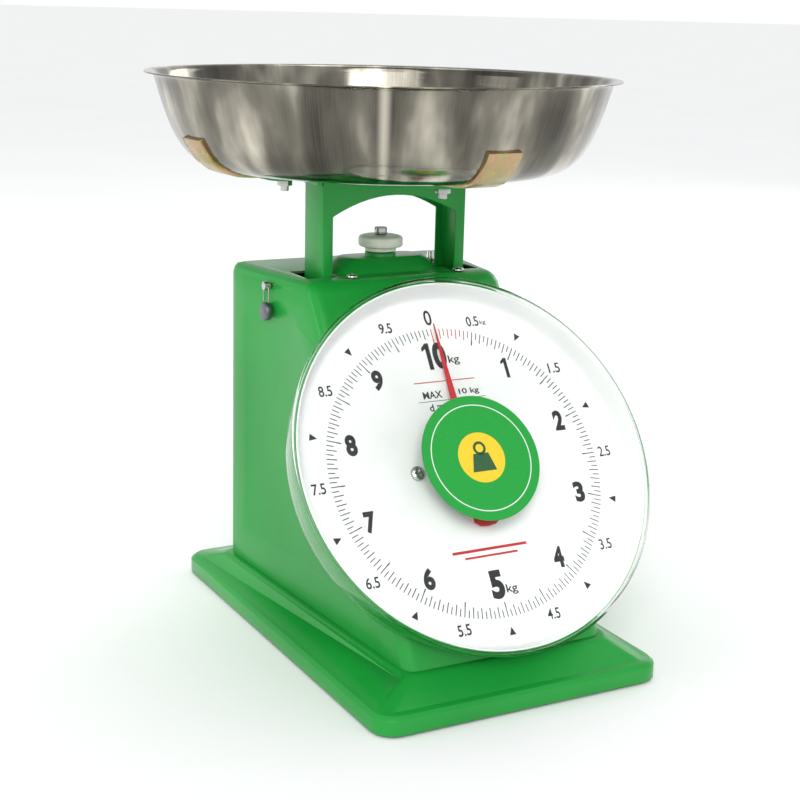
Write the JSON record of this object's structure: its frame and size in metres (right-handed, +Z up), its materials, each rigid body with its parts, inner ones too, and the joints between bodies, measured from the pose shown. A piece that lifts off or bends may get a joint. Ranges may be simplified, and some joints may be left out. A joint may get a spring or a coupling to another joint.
{
  "type": "spring dial platform scale",
  "caption": "Counter-top spring dial scale with a steel bowl on a sprung bridge, a leaning round dial with a pointer and a zero-adjusting knob.",
  "frame": {"origin": "centre of the object's box at the height its rubber feet stand on", "axes": "+Z up along the bridge travel, dial facing -Y and leaning back, +X to the right of somebody reading the dial"},
  "size_m": [0.282, 0.327, 0.3299],
  "materials": {
    "green_paint": "glossy green baked enamel",
    "stainless": "polished stainless steel",
    "yellow_zinc": "yellow chromate zinc plating",
    "bright_steel": "bright zinc plated steel",
    "plain_steel": "plain steel sheet and rod",
    "brass": "turned brass",
    "dial_white": "white enamel with printed scale",
    "pointer_red": "red enamel",
    "clear_plastic": "clear moulded plastic",
    "badge_green": "printed round label",
    "knob_white": "off-white moulded plastic",
    "rubber": "black rubber",
    "lead": "dull grey lead"
  },
  "bodies": {
    "housing": {"base_pan": "green_paint", "foot_front_left": "rubber", "foot_front_right": "rubber", "foot_rear_left": "rubber", "foot_rear_right": "rubber", "housing_shell": "green_paint", "rear_cover": "green_paint", "rear_cover_screw_left": "bright_steel", "rear_cover_screw_right": "bright_steel", "stop_bar": "plain_steel", "top_screw_left": "bright_steel", "top_screw_right": "bright_steel", "lock_screw": "bright_steel", "support_bracket_left": "plain_steel", "support_bracket_right": "plain_steel", "upper_fixed_pin": "plain_steel", "lower_fixed_pin": "plain_steel", "movement_bracket": "plain_steel", "front_bush": "brass", "rear_bush": "brass", "dial_pan": "green_paint", "dial_plate": "dial_white", "dial_screw_left": "bright_steel", "dial_screw_right": "bright_steel", "clear_cover": "clear_plastic", "cover_badge": "badge_green", "seal_screw": "bright_steel", "spring_left": "plain_steel", "spring_right": "plain_steel"},
    "platform": {"bridge_frame": "green_paint", "tray_plate": "green_paint", "tray_spider": "yellow_zinc", "tray_bolt_right": "bright_steel", "tray_bolt_rear": "bright_steel", "tray_bolt_left": "bright_steel", "tray_bolt_front": "bright_steel", "tray_nut_right": "bright_steel", "tray_nut_rear": "bright_steel", "tray_nut_left": "bright_steel", "tray_nut_front": "bright_steel", "carriage_side_left": "plain_steel", "carriage_side_right": "plain_steel", "carriage_foot_bar": "plain_steel", "carriage_cross_bar": "plain_steel", "bimetal_arm": "brass", "rack": "brass", "upper_moving_pin": "plain_steel", "lower_moving_pin": "plain_steel"},
    "bowl": {"bowl": "stainless"},
    "pointer": {"pointer": "pointer_red", "pointer_hub": "brass", "pointer_shaft": "plain_steel", "pinion": "brass"},
    "upper_lever": {"upper_lever": "plain_steel"},
    "lower_lever": {"lower_lever": "plain_steel"},
    "zero_knob": {"zero_knob": "knob_white", "zero_screw": "bright_steel"},
    "hanger": {"spring_hanger": "plain_steel"},
    "seal": {"seal_wire": "plain_steel", "lead_seal": "lead"}
  },
  "joints": [
    {"name": "platform_travel", "type": "slide", "parent": "housing", "child": "platform", "axis": [0, 0, -1], "range_m": [-0.001, 0.0209], "stiffness_N_per_m": 4705.7, "springref_m": -0.00256, "deforming": ["spring_left", "spring_right"]},
    {"name": "bowl_lift", "type": "slide", "parent": "platform", "child": "bowl", "axis": [0, 0, 1], "range_m": [0, 0.1]},
    {"name": "pointer_turn", "type": "hinge", "parent": "housing", "child": "pointer", "pos_m": [0, -0.0893, 0.1165], "axis": [0, 0.829, -0.5592], "range_deg": [-18, 362]},
    {"name": "upper_lever_turn", "type": "hinge", "parent": "housing", "child": "upper_lever", "pos_m": [0, 0.07, 0.138], "axis": [1, 0, 0], "range_deg": [-1.5, 20.5]},
    {"name": "lower_lever_turn", "type": "hinge", "parent": "housing", "child": "lower_lever", "pos_m": [0, 0.07, 0.066], "axis": [1, 0, 0], "range_deg": [-1.5, 20.5]},
    {"name": "zero_knob_turn", "type": "hinge", "parent": "housing", "child": "zero_knob", "pos_m": [0, 0.0226, 0.23], "axis": [0, 0, 1], "range_deg": [-360, 360]},
    {"name": "hanger_slide", "type": "slide", "parent": "housing", "child": "hanger", "axis": [0, 0, 1], "range_m": [-0.0011, 0.0011]},
    {"name": "seal_swing", "type": "hinge", "parent": "housing", "child": "seal", "pos_m": [-0.0725, 0.029, 0.206], "axis": [1, 0, 0], "range_deg": [-14, 6]}
  ],
  "couplings": [
    {"joint": "pointer_turn", "follows": "platform_travel", "rad_per_m": 301.47},
    {"joint": "upper_lever_turn", "follows": "platform_travel", "rad_per_m": 16.667},
    {"joint": "lower_lever_turn", "follows": "platform_travel", "rad_per_m": 16.667},
    {"joint": "hanger_slide", "follows": "zero_knob_turn", "m_per_rad": 0.00015915}
  ]
}
